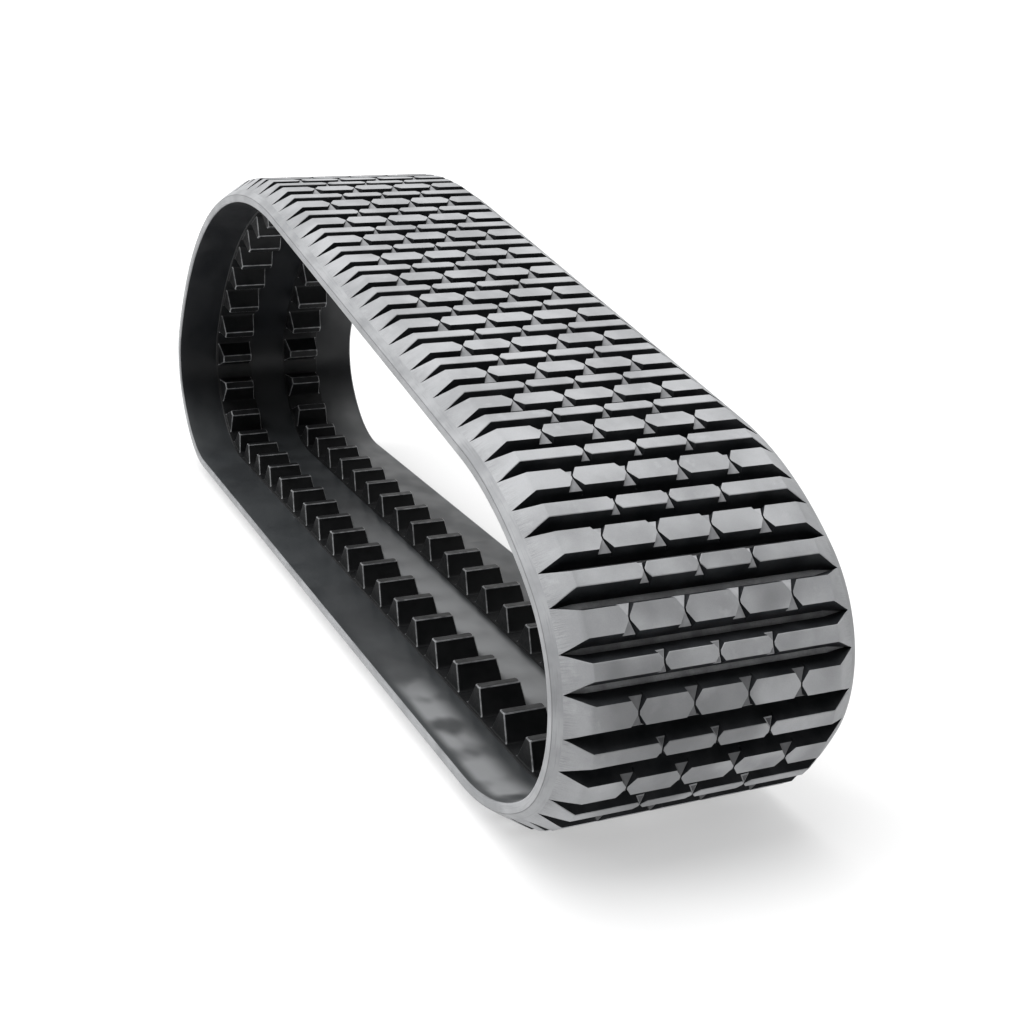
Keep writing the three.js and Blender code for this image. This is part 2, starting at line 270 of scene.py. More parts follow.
class Stretch:
    """Gathers templates laid along the belt, and makes one closed object of them."""

    def __init__(self):
        self.points, self.belt, self.faces, self.finishes = [], [], [], []
        self.count = 0

    def add(self, template, middle, stiffness):
        """Lays a template of (ahead, across, depth) points round a place on the cord line."""
        points, faces, finishes = template
        along = middle + points[:, 0]
        stiff = stiffness(points)
        self.points.append(belt_points(along, points[:, 1], points[:, 2], middle, stiff))
        self.belt.append(np.stack([along, points[:, 1], points[:, 2]], axis=1) * MM)
        self.faces += [[index + self.count for index in face] for face in faces]
        self.finishes += finishes
        self.count += len(points)

    def make(self, name, materials, smooth=SMOOTH_ANGLE):
        points, belt = np.concatenate(self.points), np.concatenate(self.belt)
        mesh = bpy.data.meshes.new(name)
        mesh.from_pydata(points, [], self.faces)
        mesh.polygons.foreach_set("material_index", self.finishes)
        for label, values in (("belt", belt), ("rest", points)):
            attribute = mesh.attributes.new(label, "FLOAT_VECTOR", "POINT")
            attribute.data.foreach_set("vector", values.astype(np.float32).ravel())
        close(mesh)
        for material in materials:
            mesh.materials.append(material)
        mesh.shade_smooth()
        mesh.set_sharp_from_angle(angle=smooth)
        piece = bpy.data.objects.new(name, mesh)
        bpy.context.scene.collection.objects.link(piece)
        weighted = piece.modifiers.new("even_normals", "WEIGHTED_NORMAL")
        weighted.keep_sharp = True
        return piece


def close(mesh):
    """Welds the templates to each other, fills the two open ends and turns every face outward."""
    made = bmesh.new()
    made.from_mesh(mesh)
    bmesh.ops.remove_doubles(made, verts=made.verts, dist=0.01 * MM)
    open_edges = [edge for edge in made.edges if edge.is_boundary]
    bmesh.ops.holes_fill(made, edges=open_edges, sides=0)
    bmesh.ops.recalc_face_normals(made, faces=made.faces)
    made.to_mesh(mesh)
    made.free()


# ---- Tread row ----
FACE, GROOVE, FLOOR, RIM, TIE = range(5)
ROW_STEPS = 6
SHOULDER_STEPS = 4


def flank_ahead(row, depth):
    """How far a bar's flank stands from the bar's middle at a depth."""
    foot = row.share * LUG_PITCH / 2 - GROOVE_FLOOR / 2
    share = (TREAD_DEPTH - depth) / (TREAD_DEPTH - BELT_THICKNESS)
    return row.half_face + share * (foot - row.half_face)


def notch_corners(row, across, front):
    """The corners of a notch on one side of a bar, with the tie that slopes down in it from the
    left block's end, and the sipe that parts the tie from the right block."""
    face, neck = front * row.half_face, front * NECK / 2
    before, after = across - SIPE / 2, across + SIPE / 2
    foot_before, foot_after = across + row.chamfer - SIPE, across + row.chamfer
    tie_depth = TREAD_DEPTH - TIE_DROP
    low_depth = tie_depth - SIPE_DEPTH
    tie, low = front * flank_ahead(row, tie_depth), front * flank_ahead(row, low_depth)
    return {
        "fold": (face, across - row.chamfer, TREAD_DEPTH),
        "tip": (neck, before, TREAD_DEPTH),
        "tie_near": (tie, across - row.chamfer, tie_depth),
        "tie_far": (tie, foot_before, tie_depth),
        "tip_low": (neck, before, TREAD_DEPTH - SIPE_DEPTH),
        "tie_low": (low, foot_before, low_depth),
        "next_low": (low, foot_after, low_depth),
        "next_tip_low": (neck, after, TREAD_DEPTH - SIPE_DEPTH),
        "next_tip": (neck, after, TREAD_DEPTH),
        "next": (face, foot_after, TREAD_DEPTH),
    }


def add_notch(sheet, at):
    sheet.face([at["fold"], at["tip"], at["tie_near"]], GROOVE)
    sheet.face([at["tip"], at["tie_near"], at["tie_far"]], TIE)
    sheet.face([at["tip"], at["tie_far"], at["tie_low"], at["tip_low"]], GROOVE)
    sheet.face([at["tip_low"], at["tie_low"], at["next_low"], at["next_tip_low"]], GROOVE)
    sheet.face([at["next_tip"], at["next"], at["next_low"], at["next_tip_low"]], GROOVE)


def add_neck(sheet, back, front):
    """The sipe across the neck between the notches on both sides of a bar."""
    path = ("tip", "tip_low", "next_tip_low", "next_tip")
    sheet.grid([[back[name] for name in path], [front[name] for name in path]], GROOVE)


def add_blocks(sheet, row, notches):
    """The faces of the blocks, each between two notches or a notch and the shoulder."""
    face = row.half_face

    def shoulder(side):
        ends = [(ahead, side * BEVEL_TOP, TREAD_DEPTH) for ahead in (-face, face)]
        return line_between(*ends, ROW_STEPS)

    left = shoulder(-1)
    for back, front in notches:
        sheet.face([*left, front["fold"], front["tip"], back["tip"], back["fold"]], FACE)
        left = [back["next"], back["next_tip"], front["next_tip"], front["next"]]
    sheet.face([*left, *reversed(shoulder(1))], FACE)


def add_flank(sheet, row, front, notches):
    """A bar's flank with the tapering ends of the groove beside it, and half the groove's floor."""
    half = row.share * LUG_PITCH / 2
    face, foot = front * row.half_face, front * (half - GROOVE_FLOOR / 2)
    crown = BELT_THICKNESS + FLOOR_CROWN
    feet = [(foot, -BEVEL_TOP, BELT_THICKNESS)]
    left = [(face, -BEVEL_TOP, TREAD_DEPTH)]
    for across, at in zip(row.notches, notches):
        below = (foot, across, BELT_THICKNESS)
        right = [at[name] for name in ("fold", "tie_near", "tie_far", "tie_low")]
        sheet.face([feet[-1], *left, *right, below], GROOVE)
        feet.append(below)
        left = [at[name] for name in ("tie_low", "next_low", "next")]
    last = (foot, BEVEL_TOP, BELT_THICKNESS)
    sheet.face([feet[-1], *left, (face, BEVEL_TOP, TREAD_DEPTH), last], GROOVE)
    feet.append(last)
    for side, beside in ((-1, feet[0]), (1, feet[-1])):
        top = (face, side * BEVEL_TOP, TREAD_DEPTH)
        tip = (front * half, side * (EDGE - SMOOTH_BAND), SMOOTH_BAND_DEPTH)
        end = (front * half, side * GROOVE_END, crown)
        sheet.face([*line_between(top, tip, SHOULDER_STEPS), end, beside], GROOVE)
    ends = [(front * half, GROOVE_END, crown), (front * half, -GROOVE_END, crown)]
    sheet.face([*feet, *ends], FLOOR)


def rim_profile(side):
    """(across, depth) round the edge of the belt, from the shoulder to the plies."""
    band = (EDGE - SMOOTH_BAND, SMOOTH_BAND_DEPTH)
    round_centre = (EDGE - RIM_ROUND, BELT_THICKNESS - RIM_ROUND_DROP)
    upper = arc(round_centre, RIM_ROUND, RIM_ROUND_FROM, 0, 3)
    lower = arc((EDGE - RIM_LIP, RIM_LIP), RIM_LIP, 0, -90, 4)
    inside = [
        (EDGE - RIM_LIP, PLY_LOW),
        (EDGE - PLY_MARGIN, PLY_LOW),
        (EDGE - PLY_MARGIN, OUTER_COVER_DEPTH),
    ]
    return [(side * across, depth) for across, depth in [band, *upper, *lower, *inside]]


def row_template(row):
    """One tread bar with its share of the belt, round its own middle."""
    sheet = Sheet()
    half = row.share * LUG_PITCH / 2

    def swept(corners, finish):
        sheet.grid([line_between((-half, *at), (half, *at), ROW_STEPS) for at in corners], finish)

    pairs = [[notch_corners(row, across, front) for front in (-1, 1)] for across in row.notches]
    for back, front in pairs:
        add_notch(sheet, back)
        add_notch(sheet, front)
        add_neck(sheet, back, front)
    add_blocks(sheet, row, pairs)
    for front, notches in zip((-1, 1), zip(*pairs)):
        add_flank(sheet, row, front, notches)
    for side in (-1, 1):
        band = (side * (EDGE - SMOOTH_BAND), SMOOTH_BAND_DEPTH)
        edges = []
        for front in (-1, 1):
            top = (front * row.half_face, side * BEVEL_TOP, TREAD_DEPTH)
            edges.append(line_between(top, (front * half, *band), SHOULDER_STEPS))
        sheet.grid([line_between(*ends, ROW_STEPS) for ends in zip(*edges)], FACE)
        swept(rim_profile(side), RIM)
    swept([(side * (EDGE - PLY_MARGIN), OUTER_COVER_DEPTH) for side in (-1, 1)], GROOVE)
    round_bars(sheet.mesh, half)
    return sheet.arrays()


def round_bars(mesh, half):
    """Rounds the edges of the blocks and ties, and of the shoulders down to near their tips."""
    bmesh.ops.recalc_face_normals(mesh, faces=mesh.faces)
    rounded = []
    for edge in mesh.edges:
        if not edge.is_manifold:
            continue
        finishes = {face.material_index for face in edge.link_faces}
        at_tip = any(abs(abs(vert.co.x) - half) < TIP_REACH for vert in edge.verts)
        sharp = edge.calc_face_angle() > ROUNDED_ANGLE
        if finishes & {FACE, TIE} and not finishes & {RIM, FLOOR} and sharp and not at_tip:
            rounded.append(edge)
    bmesh.ops.bevel(
        mesh, geom=rounded, offset=EDGE_ROUND, offset_type="OFFSET", segments=3, profile=0.5,
        affect="EDGES", clamp_overlap=True,
    )


def bar_stiffness(points):
    return np.clip((points[:, 2] - STIFF_FROM) / (STIFF_TO - STIFF_FROM), 0, 1)


# ---- Drive lugs ----
# The second finish paints highlights on the lugs' rounded crest and corner edges.
FLANK, EDGE_HIGHLIGHT = range(2)
CORNER_STEPS, SIDE_STEPS, FLANK_STEPS = 4, 3, 6
FLANGE = 3.4  # reach of the thin flange round a lug's foot
FLANGE_RISE = 0.6
FLANGE_ROUND = 0.4
FLANGE_RINGS = 3
FOOT_RISE = 1.0  # the foot starts inside the facing strip
FILLET_RISE, FILLET_REACH = 2.6, 1.8
CREST_ROUND = 3.4
LUG_CORNER = 3.4
FLANGE_CORNER = LUG_CORNER + 1


def rounded_ring(half_ahead, half_across, radius, height, dish=0.0):
    """A ring of a lug at a height, as (ahead, across, depth) round the lug's middle. The flanks
    are pulled in by the dish halfway across."""
    inner_ahead, inner_across = half_ahead - radius, half_across - radius
    corners = []
    for turn, (fore, aside) in enumerate([(1, 1), (-1, 1), (-1, -1), (1, -1)]):
        centre = (fore * inner_ahead, aside * inner_across)
        corners.append(arc(centre, radius, 90 * turn, 90 * turn + 90, CORNER_STEPS))
    ring = []
    for turn, corner in enumerate(corners):
        next_corner = corners[(turn + 1) % 4]
        steps = FLANK_STEPS if turn % 2 else SIDE_STEPS
        ring += [*corner, *line_between(corner[-1], next_corner[0], steps)[1:-1]]
    points = []
    for ahead, across in ring:
        hollow = max(0.0, 1 - (across / inner_across) ** 2)
        on_flank = min(1.0, abs(ahead) / (0.8 * half_ahead)) ** 4
        points.append((ahead - math.copysign(dish * hollow * on_flank, ahead), across, -height))
    return points


def lug_rings():
    """The rings of a lug from its foot to its crest, each with whether the band above it takes the
    painted edge highlight.
    """
    half_across = (LUG_OUTER_Y - LUG_INNER_Y) / 2

    def flank(height):
        share = (height - STRIP_TOP) / (LUG_HEIGHT - STRIP_TOP)
        ahead = LUG_BASE / 2 + share * (LUG_CREST - LUG_BASE) / 2
        return ahead, half_across - share * LUG_SIDE_DRAFT

    flange = (LUG_BASE / 2 + FLANGE, half_across + FLANGE)
    top = STRIP_TOP + FLANGE_RISE
    inset_flange = [reach - FLANGE_ROUND for reach in flange]
    yield rounded_ring(*flange, FLANGE_CORNER, FOOT_RISE), False
    yield rounded_ring(*flange, FLANGE_CORNER, top - FLANGE_ROUND), False
    yield rounded_ring(*inset_flange, FLANGE_CORNER, top), False
    for angle in map(math.radians, (8, 35, 62, 88)):
        height = top + FILLET_RISE * (1 - math.cos(angle))
        reach = FILLET_REACH * (1 - math.sin(angle))
        ahead, across = flank(height)
        yield rounded_ring(ahead + reach, across + reach, LUG_CORNER, height), False
    for share in (0.15, 0.3, 0.5, 0.7, 0.85):
        height = STRIP_TOP + share * (LUG_HEIGHT - STRIP_TOP)
        dish = LUG_DISH * math.sin(math.pi * share)
        yield rounded_ring(*flank(height), LUG_CORNER, height, dish), False
    ahead, across = flank(LUG_HEIGHT - CREST_ROUND)
    for angle, highlighted in ((0, False), (25, True), (50, True), (72, False), (90, False)):
        inset = CREST_ROUND * (1 - math.cos(math.radians(angle)))
        height = LUG_HEIGHT - CREST_ROUND * (1 - math.sin(math.radians(angle)))
        radius = LUG_CORNER - 0.5 * inset
        yield rounded_ring(ahead - inset, across - inset, radius, height), highlighted


def lug_template(side):
    """A tooth on a thin flange, with painted highlights on its rounded edges and slightly hollow
    flanks.
    """
    middle = side * (LUG_OUTER_Y + LUG_INNER_Y) / 2
    sheet = Sheet()
    rings = []
    for ring, highlighted in lug_rings():
        rings.append(([(ahead, middle + across, depth) for ahead, across, depth in ring], highlighted))
    count = len(rings[0][0])
    second, third = CORNER_STEPS + SIDE_STEPS, count // 2
    corner_starts = (0, second, third, third + second)
    corners = {start + step for start in corner_starts for step in range(1, CORNER_STEPS - 1)}
    for level, ((near, highlighted), (far, _)) in enumerate(zip(rings, rings[1:])):
        for i in range(count):
            j = (i + 1) % count
            light = highlighted or (i in corners and level >= FLANGE_RINGS)
            sheet.face([near[i], near[j], far[j], far[i]], EDGE_HIGHLIGHT if light else FLANK)
    sheet.face(rings[0][0])
    sheet.face(rings[-1][0])
    return sheet.arrays()


def lug_stiffness(points):
    return np.clip((-points[:, 2] - STRIP_TOP) / LUG_STIFF_RISE, 0, 1)


# ---- Layers with one cross-section ----
LAYER_STEPS = 12  # rings in each lug pitch
COVER_STEPS = 48
COVER_LIP = 0.5  # the cover's edges lie this much deeper than its face
WEAR = 0.5
WHEEL_PATH, WHEEL_PATH_REACH = 180, 22
MIDDLE_PATH_REACH = 24
CORDS = 46
CORD_RIDGE = 0.25


def layer_template(outline, steps=LAYER_STEPS):
    """One lug pitch of a layer with a closed (across, depth) outline, from its start onward."""
    sheet = Sheet()
    lines = [
        [(ahead, *at) for at in outline] for ahead in np.linspace(0, LUG_PITCH, steps + 1)
    ]
    sheet.grid(lines, closed=True)
    return sheet.arrays()


def inner_cover_outline():
    """A smooth face, worn a little hollow where the wheels roll."""
    half = EDGE - RIM_LIP - LAYER_GAP
    across = np.linspace(-half, half, COVER_STEPS + 1)
    wheel_path = WEAR * np.exp(-(((np.abs(across) - WHEEL_PATH) / WHEEL_PATH_REACH) ** 2))
    middle_path = WEAR * np.exp(-((across / MIDDLE_PATH_REACH) ** 2))
    inner = [(y, float(d)) for y, d in zip(across, wheel_path + middle_path)]
    inner[0] = (-half, COVER_LIP)
    inner[-1] = (half, COVER_LIP)
    return [*inner, (half, INNER_COVER_DEPTH), (-half, INNER_COVER_DEPTH)]


def cord_ply_outline():
    """Cords side by side in their skim rubber."""
    half = EDGE - PLY_MARGIN - LAYER_GAP
    across = np.linspace(-half, half, 2 * CORDS + 1)
    ridge = CORD_RIDGE * np.abs(np.sin(np.arange(len(across)) * math.pi / 2))
    low = [(y, PLY_LOW + LAYER_GAP - r) for y, r in zip(across, ridge)]
    high = [(y, PLY_HIGH - LAYER_GAP + r) for y, r in zip(across, ridge)]
    return [*low, *reversed(high)]


def strip_outline(side):
    """The thin facing strip under a row of lugs, with rounded borders."""
    near, far = LUG_INNER_Y - STRIP_MARGIN, LUG_OUTER_Y + STRIP_MARGIN
    border = [(0, -LAYER_GAP), (1, -1.2), (STRIP_SLOPE, -STRIP_TOP)]
    outline = [(near + reach, depth) for reach, depth in border]
    outline += [(far - reach, depth) for reach, depth in reversed(border)]
    return [(side * across, depth) for across, depth in outline]


def bends_fully(points):
    return np.zeros(len(points))


# ---- Materials ----
RUBBER_GREY = (0.12, 0.122, 0.126)
DUST_THIN, DUST_THICK = (0.26, 0.265, 0.275), (0.42, 0.426, 0.44)
# Light grey of the painted sheen on the inner cover and the painted highlights on the lugs' edges.
PAINTED_SHEEN = (0.30, 0.307, 0.315)


def shader(name):
    material = bpy.data.materials.new(name)
    material.use_nodes = True
    return material, material.node_tree


class Nodes:
    """Short calls for the nodes of one material."""

    def __init__(self, name):
        self.material, self.tree = shader(name)
        self.output = self.tree.nodes["Principled BSDF"]

    def new(self, kind, **inputs):
        node = self.tree.nodes.new(kind)
        for label, value in inputs.items():
            self.set(node, label.replace("_", " "), value)
        return node

    def set(self, node, label, value):
        if isinstance(value, bpy.types.NodeSocket):
            self.tree.links.new(value, node.inputs[label])
        else:
            node.inputs[label].default_value = value

    def attribute(self, name):
        node = self.tree.nodes.new("ShaderNodeAttribute")
        node.attribute_name = name
        return node.outputs["Vector"]

    def split(self, vector):
        return self.new("ShaderNodeSeparateXYZ", Vector=vector).outputs

    def stretched(self, vector, scale):
        node = self.tree.nodes.new("ShaderNodeMapping")
        self.set(node, "Vector", vector)
        node.inputs["Scale"].default_value = scale
        return node.outputs["Vector"]

    def noise(self, vector, scale, detail=3.0, roughness=0.55):
        node = self.new("ShaderNodeTexNoise", Vector=vector, Scale=scale, Detail=detail)
        node.inputs["Roughness"].default_value = roughness
        return node.outputs["Fac"]

    def spread(self, value, low, high, to_low=0.0, to_high=1.0):
        """Maps a range of values smoothly onto another one."""
        node = self.tree.nodes.new("ShaderNodeMapRange")
        node.interpolation_type = "SMOOTHSTEP"
        self.set(node, "Value", value)
        for label, number in zip(
            ("From Min", "From Max", "To Min", "To Max"), (low, high, to_low, to_high)
        ):
            node.inputs[label].default_value = number
        return node.outputs["Result"]

    def maths(self, operation, first, second=0.0):
        node = self.tree.nodes.new("ShaderNodeMath")
        node.operation = operation
        for index, value in enumerate((first, second)):
            if isinstance(value, bpy.types.NodeSocket):
                self.tree.links.new(value, node.inputs[index])
            else:
                node.inputs[index].default_value = value
        return node.outputs["Value"]

    def mixed(self, share, first, second):
        """A colour between two, each a colour or a socket."""
        node = self.tree.nodes.new("ShaderNodeMix")
        node.data_type = "RGBA"
        for index, value in ((0, share), (6, first), (7, second)):
            if isinstance(value, bpy.types.NodeSocket):
                self.tree.links.new(value, node.inputs[index])
            elif index:
                node.inputs[index].default_value = (*value, 1.0)
            else:
                node.inputs[index].default_value = value
        return node.outputs[2]

    def bumped(self, height, distance, strength=1.0, over=None):
        node = self.new("ShaderNodeBump", Height=height, Strength=strength)
        node.inputs["Distance"].default_value = distance
        if over is not None:
            self.set(node, "Normal", over)
        return node.outputs["Normal"]

    def finish(self, colour, roughness, normal, specular):
        self.set(self.output, "Base Color", colour)
        self.set(self.output, "Roughness", roughness)
        self.set(self.output, "Normal", normal)
        self.output.inputs["Specular IOR Level"].default_value = specular
        return self.material


def tread_face_rubber():
    """Bar faces and shoulders: a light bloom, brushed near the edge, with painted shade on the bars
    low on the track.
    """
    make = Nodes("tread_face")
    rest, belt = make.attribute("rest"), make.attribute("belt")
    across = make.maths("ABSOLUTE", make.split(belt)["Y"])
    cloud = make.noise(rest, 9.0, 4.0)
    blotch = make.noise(rest, 46.0, 3.0)
    grain = make.noise(rest, 900.0, 2.0)
    colour = make.mixed(make.spread(cloud, 0.3, 0.7), (0.30, 0.305, 0.315), (0.43, 0.437, 0.45))
    colour = make.mixed(make.spread(blotch, 0.55, 0.8, 0.0, 0.4), colour, (0.50, 0.508, 0.52))
    colour = make.mixed(make.spread(grain, 0.35, 0.75, 0.0, 0.16), colour, RUBBER_GREY)
    # Painted shade: the bars low on the track, away from the shoulders, are darkened in patches.
    low_shade = make.spread(make.split(rest)["Z"], 0.56, 0.4, 0.0, 0.5)
    low_shade = make.maths("MULTIPLY", low_shade, make.spread(across, 0.205, 0.15))
    low_shade = make.maths("MULTIPLY", low_shade, make.spread(make.noise(rest, 7.0, 2.0), 0.42, 0.62))
    colour = make.mixed(low_shade, colour, (0.10, 0.102, 0.106))
    fibres = make.noise(make.stretched(belt, (1.0, 0.07, 0.07)), 620.0, 3.0, 0.7)
    at_edge = make.spread(across, 0.192, 0.220)
    dark_fibre = make.maths("MULTIPLY", make.spread(fibres, 0.42, 0.66), at_edge)
    colour = make.mixed(make.maths("MULTIPLY", dark_fibre, 0.3), colour, RUBBER_GREY)
    rough = make.spread(blotch, 0.2, 0.8, 0.5, 0.72)
    normal = make.bumped(grain, 0.00012, 0.6)
    normal = make.bumped(dark_fibre, 0.0004, 0.5, normal)
    normal = make.bumped(cloud, 0.0012, 0.35, normal)
    return make.finish(colour, rough, normal, 0.4)


def shaded_flank_rubber():
    """Flanks and sipes: near-black, painted shade on the steep walls of the tread."""
    make = Nodes("tread_groove")
    rest = make.attribute("rest")
    cloud = make.noise(rest, 22.0, 3.0)
    grain = make.noise(rest, 700.0, 2.0)
    # Painted shade: the steep flanks and sipes are coloured near-black.
    colour = make.mixed(make.spread(cloud, 0.3, 0.75), (0.008, 0.009, 0.011), (0.026, 0.028, 0.031))
    normal = make.bumped(grain, 0.0001, 0.5)
    return make.finish(colour, make.spread(grain, 0.2, 0.8, 0.5, 0.7), normal, 0.22)


def floor_rubber():
    """Groove floors: black rubber with dust settled on it."""
    make = Nodes("tread_floor")
    rest = make.attribute("rest")
    cloud = make.noise(rest, 30.0, 4.0)
    grain = make.noise(rest, 500.0, 2.0)
    colour = make.mixed(make.spread(cloud, 0.35, 0.7), DUST_THIN, DUST_THICK)
    colour = make.mixed(make.spread(grain, 0.5, 0.8, 0.0, 0.3), colour, (0.05, 0.051, 0.054))
    normal = make.bumped(grain, 0.0002, 0.6)
    return make.finish(colour, make.spread(cloud, 0.2, 0.8, 0.6, 0.8), normal, 0.3)


def tie_rubber():
    """The sloped ties between the blocks: dusted, with painted shade darkening them low on the track
    toward the ground.
    """
    make = Nodes("tread_tie")
    rest = make.attribute("rest")
    cloud = make.noise(rest, 40.0, 3.0)
    grain = make.noise(rest, 900.0, 2.0)
    colour = make.mixed(make.spread(cloud, 0.3, 0.7), DUST_THIN, DUST_THICK)
    # Painted shade: ties low on the track are darkened toward the ground.
    low = make.spread(make.split(rest)["Z"], 0.46, 0.26, 0.0, 0.85)
    colour = make.mixed(low, colour, (0.06, 0.061, 0.064))
    normal = make.bumped(grain, 0.0001, 0.5)
    return make.finish(colour, make.spread(cloud, 0.2, 0.8, 0.5, 0.7), normal, 0.35)


def rim_rubber():
    """The belt's edge: the same bloom as the shoulder, trimmed smooth, with a moulding line."""
    make = Nodes("belt_rim")
    rest, belt = make.attribute("rest"), make.attribute("belt")
    depth = make.split(belt)["Z"]
    cloud = make.noise(rest, 14.0, 4.0)
    grain = make.noise(rest, 800.0, 2.0)
    drag = make.noise(make.stretched(belt, (0.05, 1.0, 1.0)), 500.0, 2.0)
    colour = make.mixed(make.spread(cloud, 0.3, 0.7), (0.24, 0.246, 0.255), (0.37, 0.376, 0.387))
    colour = make.mixed(make.spread(drag, 0.5, 0.75, 0.0, 0.35), colour, (0.17, 0.173, 0.178))
    off_line = make.maths("ABSOLUTE", make.maths("SUBTRACT", depth, MOULDING_LINE * MM))
    moulding_line = make.spread(off_line, 0.0004, 0.0011, 1.0, 0.0)
    colour = make.mixed(make.maths("MULTIPLY", moulding_line, 0.55), colour, (0.08, 0.082, 0.085))
    normal = make.bumped(grain, 0.0001, 0.5)
    normal = make.bumped(moulding_line, 0.0005, 0.7, normal)
    return make.finish(colour, make.spread(cloud, 0.2, 0.8, 0.42, 0.6), normal, 0.45)


def cover_rubber():
    """The inner face: black and smooth, with painted shade above the bottom run, and a painted sheen
    and painted light patches on the bottom run.
    """
    make = Nodes("inner_cover")
    rest, belt = make.attribute("rest"), make.attribute("belt")
    across = make.maths("ABSOLUTE", make.split(belt)["Y"])
    along = make.split(rest)["X"]
    low = make.spread(make.split(rest)["Z"], 0.2, 0.06)
    cloud = make.noise(make.stretched(belt, (0.6, 1.0, 1.0)), 14.0, 2.0)
    haze = make.noise(rest, 6.0, 2.0)
    grain = make.noise(rest, 600.0, 2.0)
    # Painted shade: the inner face is darker everywhere above the bottom run.
    colour = make.mixed(low, (0.010, 0.011, 0.013), (0.042, 0.046, 0.049))
    colour = make.mixed(make.spread(haze, 0.45, 0.7, 0.0, 0.4), colour, (0.012, 0.013, 0.015))

    # Painted sheen: a light band down the middle of the bottom run, stronger toward the near end,
    # stands in for the reflection of the bright backdrop.
    middle_band = make.spread(across, 0.042, 0.026)
    middle_band = make.maths("MULTIPLY", middle_band, make.spread(along, -0.5, 0.35))
    middle_band = make.maths("MULTIPLY", middle_band, make.spread(cloud, 0.2, 0.6, 0.6, 1.0))
    # Painted light: patches once per lug pitch in the outer bands stand in for the light that falls
    # between the lugs' shadows.
    wave = make.maths("SINE", make.maths("MULTIPLY", along, 2 * math.pi / (LUG_PITCH * MM)))
    wave = make.maths("MULTIPLY", wave, 0.55)
    patches = make.spread(make.maths("ADD", wave, make.maths("MULTIPLY", cloud, 5.0)), 1.2, 3.0)
    patches = make.maths("MULTIPLY", patches, make.spread(across, 0.145, 0.185))
    patches = make.maths("MULTIPLY", patches, make.spread(across, 0.222, 0.205))
    patches = make.maths("MULTIPLY", patches, make.spread(along, 0.42, 0.6))
    pale = make.maths("MULTIPLY", make.maths("MAXIMUM", middle_band, patches), low)
    colour = make.mixed(make.maths("MULTIPLY", pale, 0.9), colour, PAINTED_SHEEN)
    rough = make.spread(cloud, 0.3, 0.7, 0.34, 0.5)
    normal = make.bumped(grain, 0.00008, 0.5)
    normal = make.bumped(haze, 0.004, 0.25, normal)
    return make.finish(colour, rough, normal, 0.4)


def lug_rubber():
    """The lugs: near-black moulded rubber with a low gloss."""
    make = Nodes("drive_lug")
    rest = make.attribute("rest")
    cloud = make.noise(rest, 30.0, 4.0)
    scuff = make.noise(make.stretched(rest, (1.0, 0.3, 1.0)), 120.0, 3.0, 0.7)
    grain = make.noise(rest, 900.0, 2.0)
    colour = make.mixed(make.spread(cloud, 0.3, 0.75), (0.004, 0.0045, 0.005), (0.010, 0.0105, 0.0115))
    rough = make.spread(scuff, 0.3, 0.8, 0.4, 0.6)
    normal = make.bumped(grain, 0.00008, 0.5)
    normal = make.bumped(cloud, 0.0006, 0.3, normal)
    return make.finish(colour, rough, normal, 0.3)


def edge_highlight_rubber():
    """The lugs' rounded edges, lightened as a painted highlight."""
    make = Nodes("drive_lug_edge")
    rest = make.attribute("rest")
    cloud = make.noise(rest, 60.0, 3.0)
    # Painted highlight: light grey on the rounded edges where they would catch the light.
    colour = make.mixed(make.spread(cloud, 0.3, 0.7), (0.10, 0.103, 0.108), PAINTED_SHEEN)
    normal = make.bumped(cloud, 0.0004, 0.3)
    return make.finish(colour, make.spread(cloud, 0.3, 0.7, 0.5, 0.3), normal, 0.6)


def ply_fabric():
    """Rubberised cord fabric."""
    make = Nodes("cord_ply")
    rest, belt = make.attribute("rest"), make.attribute("belt")
    weave = make.noise(make.stretched(belt, (0.2, 1.0, 1.0)), 900.0, 2.0)
    cloud = make.noise(rest, 20.0, 3.0)
    colour = make.mixed(make.spread(weave, 0.3, 0.7), (0.25, 0.21, 0.14), (0.46, 0.41, 0.31))
    colour = make.mixed(make.spread(cloud, 0.5, 0.8, 0.0, 0.5), colour, (0.06, 0.058, 0.055))
    normal = make.bumped(weave, 0.0003, 0.8)
    return make.finish(colour, make.spread(cloud, 0.2, 0.8, 0.7, 0.9), normal, 0.3)


# ---- The pieces ----
def belt_stretches():
    """Each stretch of belt round a joint, as (label, first pitch, last pitch, bodies, pivot).

    It runs from the middle of one section to the middle of the next, across the joint between the two.
    At the splice, where no joint joins the sections, it is two halves that each ride on one."""
    starts = np.concatenate([[0], np.cumsum(SECTION_PITCHES)])
    middles = [int(start) + count // 2 for start, count in zip(starts, SECTION_PITCHES)]
    middles.append(middles[0] + LUG_COUNT)
    for index in range(len(SECTION_PITCHES)):
        before = index + 1
        after = before % len(SECTION_PITCHES) + 1
        pivot = int(starts[index + 1])
        first, last = middles[index], middles[index + 1]
        if before == SPLICE:
            yield f"{before:02d}_end", first, pivot, (before,), pivot
            yield f"{after:02d}_start", pivot, last, (after,), pivot
        else:
            yield f"{before:02d}_{after:02d}", first, last, (before, after), pivot


def pitch_start(pitch):
    return FIRST_SECTION_START + pitch * LUG_PITCH


def attach(piece, kind, bodies, pivot, slot):
    """Lets a piece follow its section, or bakes it in place where it spans two, and hides their CAD
    nodes so that it stands for them.
    """
    names = [f"section_{number:02d}" for number in bodies]
    if len(names) == 1:
        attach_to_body(piece, names[0])
    else:
        ends = [
            belt_points(pitch_start(pivot) + step, 0.0, CORD_LINE_DEPTH)
            for step in (-BEND_REACH, BEND_REACH)
        ]
        tuple(ends[0])
        tuple(ends[1])
        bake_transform(piece)
    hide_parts(*(f"{kind}_{number:02d}" for number in bodies))


